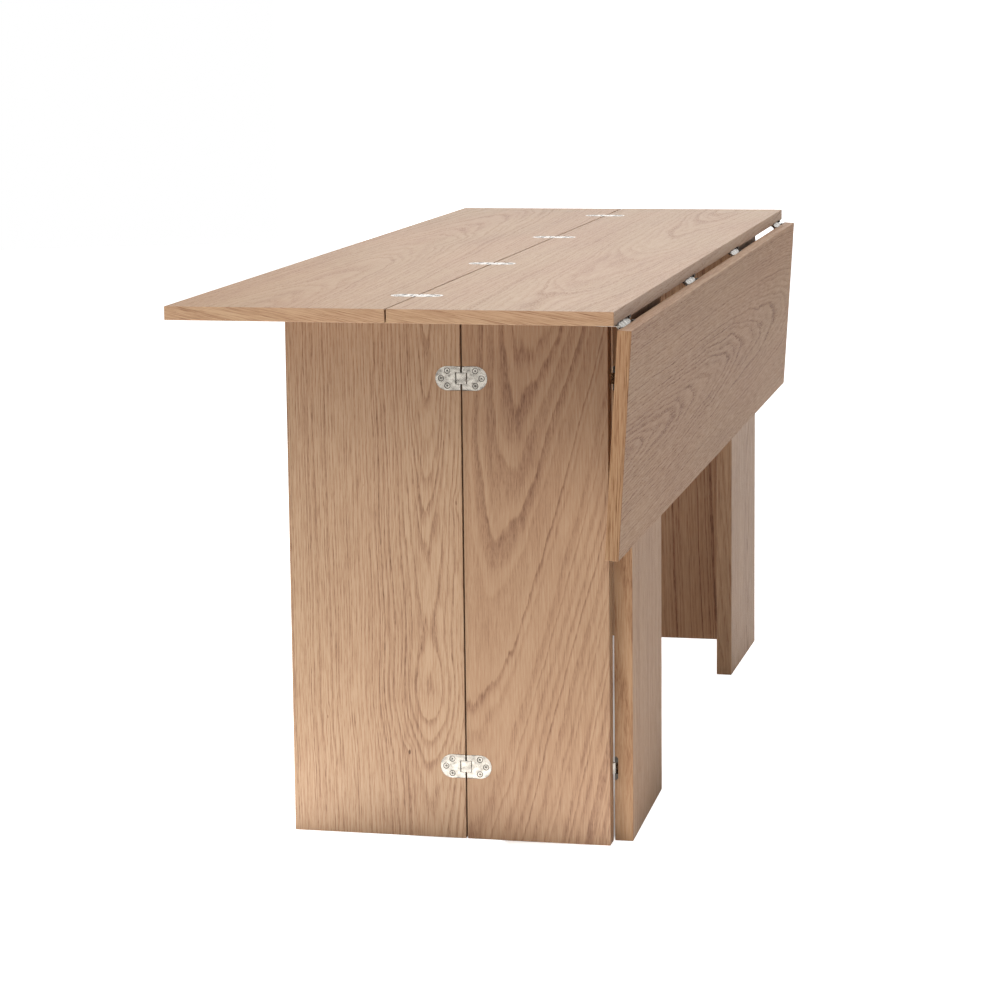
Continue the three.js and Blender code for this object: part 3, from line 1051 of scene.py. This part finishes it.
# What the floor gives off, other than towards the camera: less under the table and behind
# it, and more in front. Each is an ellipse with its middle, half-lengths, the edges of its
# rim as fractions of them, and the factor inside.
FLOOR_PATCHES = (
    ((0.0, 0.0, 0.0), (0.42, 0.86, 1), (0.72, 1.12), 0.06),
    ((1.35, 1.5, 0.0), (1.3, 2.5, 1), (0.6, 1.05), 0.08),
    ((-0.1, -0.80, 0.0), (0.8, 0.21, 1), (0.4, 1.0), 6.5),
    ((3.3, 6.5, 0.0), (2.2, 3.5, 1), (0.85, 1.02), 0.10),
)
# How bright the camera sees the floor, and the shadows that it sees under the table
FLOOR_SEEN = 0.95
FLOOR_SHADOWS = (
    ((0.155, -0.42, 0.0), (0.105, 0.32, 1), (0.9, 1.0), 0.12),
    ((0.0, 0.0, 0.0), (0.2, 0.8, 1), (0.76, 0.87), 0.12),
)
# The bright wall beyond the table's far end: its light, the edges of its left and right
# rims as sideways slopes from the Y axis, and of its lower rim as a share along Y
BACKDROP = {
    "light": 1.7, "left_rim": (-0.345, -0.265), "right_rim": (0.125, 0.165), "low_rim": (0.55, 0.75),
}
# The least share along Y that a sideways slope is worked out with, so that none divides by 0
LEAST_AWAY = 0.01
ROOM_LIGHT = 0.02
WHITE = (1, 1, 1, 1)
LIGHT_TARGET = (0, 0, 0.45)
LIGHTS = (
    # name, place, size, watts
    ("front_left", (-2.6, -4.6, 3.4), 2.6, 78),
    ("left", (-4.5, -0.8, 2.6), 2.6, 88),
    ("high_front", (-0.8, -3.6, 4.2), 2.4, 98),
    ("overhead", (0.0, 0.3, 4.0), 3.0, 84),
    ("far_right", (3.0, 3.2, 1.7), 1.5, 66),
)


def make_camera():
    data = bpy.data.cameras.new("camera")
    data.lens = CAMERA["lens"]
    data.sensor_width = CAMERA["sensor"]
    data.shift_y = CAMERA["shift_y"]
    data.clip_end = CAMERA["sees_to"]
    yaw, pitch, roll = (math.radians(CAMERA[key]) for key in ("yaw", "pitch", "roll"))
    ahead = math.cos(pitch)
    forward = Vector((math.sin(yaw) * ahead, math.cos(yaw) * ahead, math.sin(pitch)))
    level = Vector((math.cos(yaw), -math.sin(yaw), 0))
    upright = level.cross(forward)
    right = level * math.cos(roll) + upright * math.sin(roll)
    up = upright * math.cos(roll) - level * math.sin(roll)
    camera = bpy.data.objects.new("camera", data)
    bpy.context.scene.collection.objects.link(camera)
    basis = Matrix((right, up, -forward)).transposed().to_4x4()
    camera.matrix_world = Matrix.Translation(CAMERA["place"]) @ basis
    bpy.context.scene.camera = camera


def floor_patch(graph, place, middle, half_lengths, rim, factor):
    """A factor that holds inside an ellipse on the floor and is 1 outside it."""
    offset = graph.vector("DIVIDE", graph.vector("SUBTRACT", place, middle), half_lengths)
    return graph.ramp(graph.length(offset), *rim, factor, 1.0)


def make_floor():
    shape = bmesh.new()
    bmesh.ops.create_circle(shape, cap_ends=True, radius=FLOOR["radius"], segments=FLOOR["segments"])
    mesh = bpy.data.meshes.new("floor")
    shape.to_mesh(mesh)
    shape.free()
    mesh.materials.append(floor_material())
    floor = placed_object("floor", mesh, Matrix.Translation((0, 0, -FLOOR["below"])))


def floor_material():
    """A pale floor that glows, with its glow shaped by the patches."""
    material, graph, shader = new_material("floor")
    shader.inputs["Base Color"].default_value = FLOOR["colour"]
    shader.inputs["Roughness"].default_value = FLOOR["roughness"]
    shader.inputs["Emission Color"].default_value = WHITE
    place = graph.add("ShaderNodeTexCoord").outputs["Object"]
    glow = graph.ramp(graph.length(place), *FLOOR["glow_from"], *FLOOR["glow"])
    for patch in FLOOR_PATCHES:
        glow = graph.math("MULTIPLY", glow, floor_patch(graph, place, *patch))
    seen_glow = FLOOR_SEEN
    for shadow in FLOOR_SHADOWS:
        seen_glow = graph.math("MULTIPLY", floor_patch(graph, place, *shadow), seen_glow)
    seen = graph.add("ShaderNodeLightPath").outputs["Is Camera Ray"]
    glow = graph.math("MAXIMUM", glow, graph.math("MULTIPLY", seen, seen_glow))
    graph.put(shader.inputs["Emission Strength"], glow)
    return material


def make_world():
    """A dim room with one bright wall, seen by the camera as plain white."""
    world = bpy.data.worlds.new("studio")
    world.use_nodes = True
    graph = Graph(world.node_tree)
    background = world.node_tree.nodes["Background"]
    direction = graph.split(graph.add("ShaderNodeTexCoord").outputs["Generated"])
    away = graph.math("MAXIMUM", direction["Y"], LEAST_AWAY)
    sideways = graph.math("DIVIDE", direction["X"], away)
    left = graph.ramp(sideways, *BACKDROP["left_rim"])
    right = graph.ramp(sideways, *BACKDROP["right_rim"], 1.0, 0.0)
    wall = graph.ramp(direction["Y"], *BACKDROP["low_rim"], 0.0, BACKDROP["light"])
    strength = graph.math("MULTIPLY_ADD", wall, graph.math("MULTIPLY", left, right), ROOM_LIGHT)
    seen = graph.add("ShaderNodeLightPath").outputs["Is Camera Ray"]
    graph.put(background.inputs["Color"], WHITE)
    graph.put(background.inputs["Strength"], graph.math("MAXIMUM", seen, strength))
    bpy.context.scene.world = world


def make_lights():
    for name, place, size, watts in LIGHTS:
        data = bpy.data.lights.new(name, "AREA")
        data.shape = "DISK"
        data.size = size
        data.energy = watts
        light = bpy.data.objects.new(name, data)
        bpy.context.scene.collection.objects.link(light)
        light.location = place
        light.rotation_mode = "QUATERNION"
        aim = Vector(LIGHT_TARGET) - Vector(place)
        light.rotation_quaternion = aim.to_track_quat("-Z", "Y")


def make_studio():
    make_camera()
    make_floor()
    make_world()
    make_lights()
    settings = bpy.context.scene.view_settings
    settings.view_transform = "Standard"
    settings.look = "None"


make_studio()
all_seams = make_seams()
make_boards(all_seams)
make_hinges(all_seams)
make_fixing_angles()
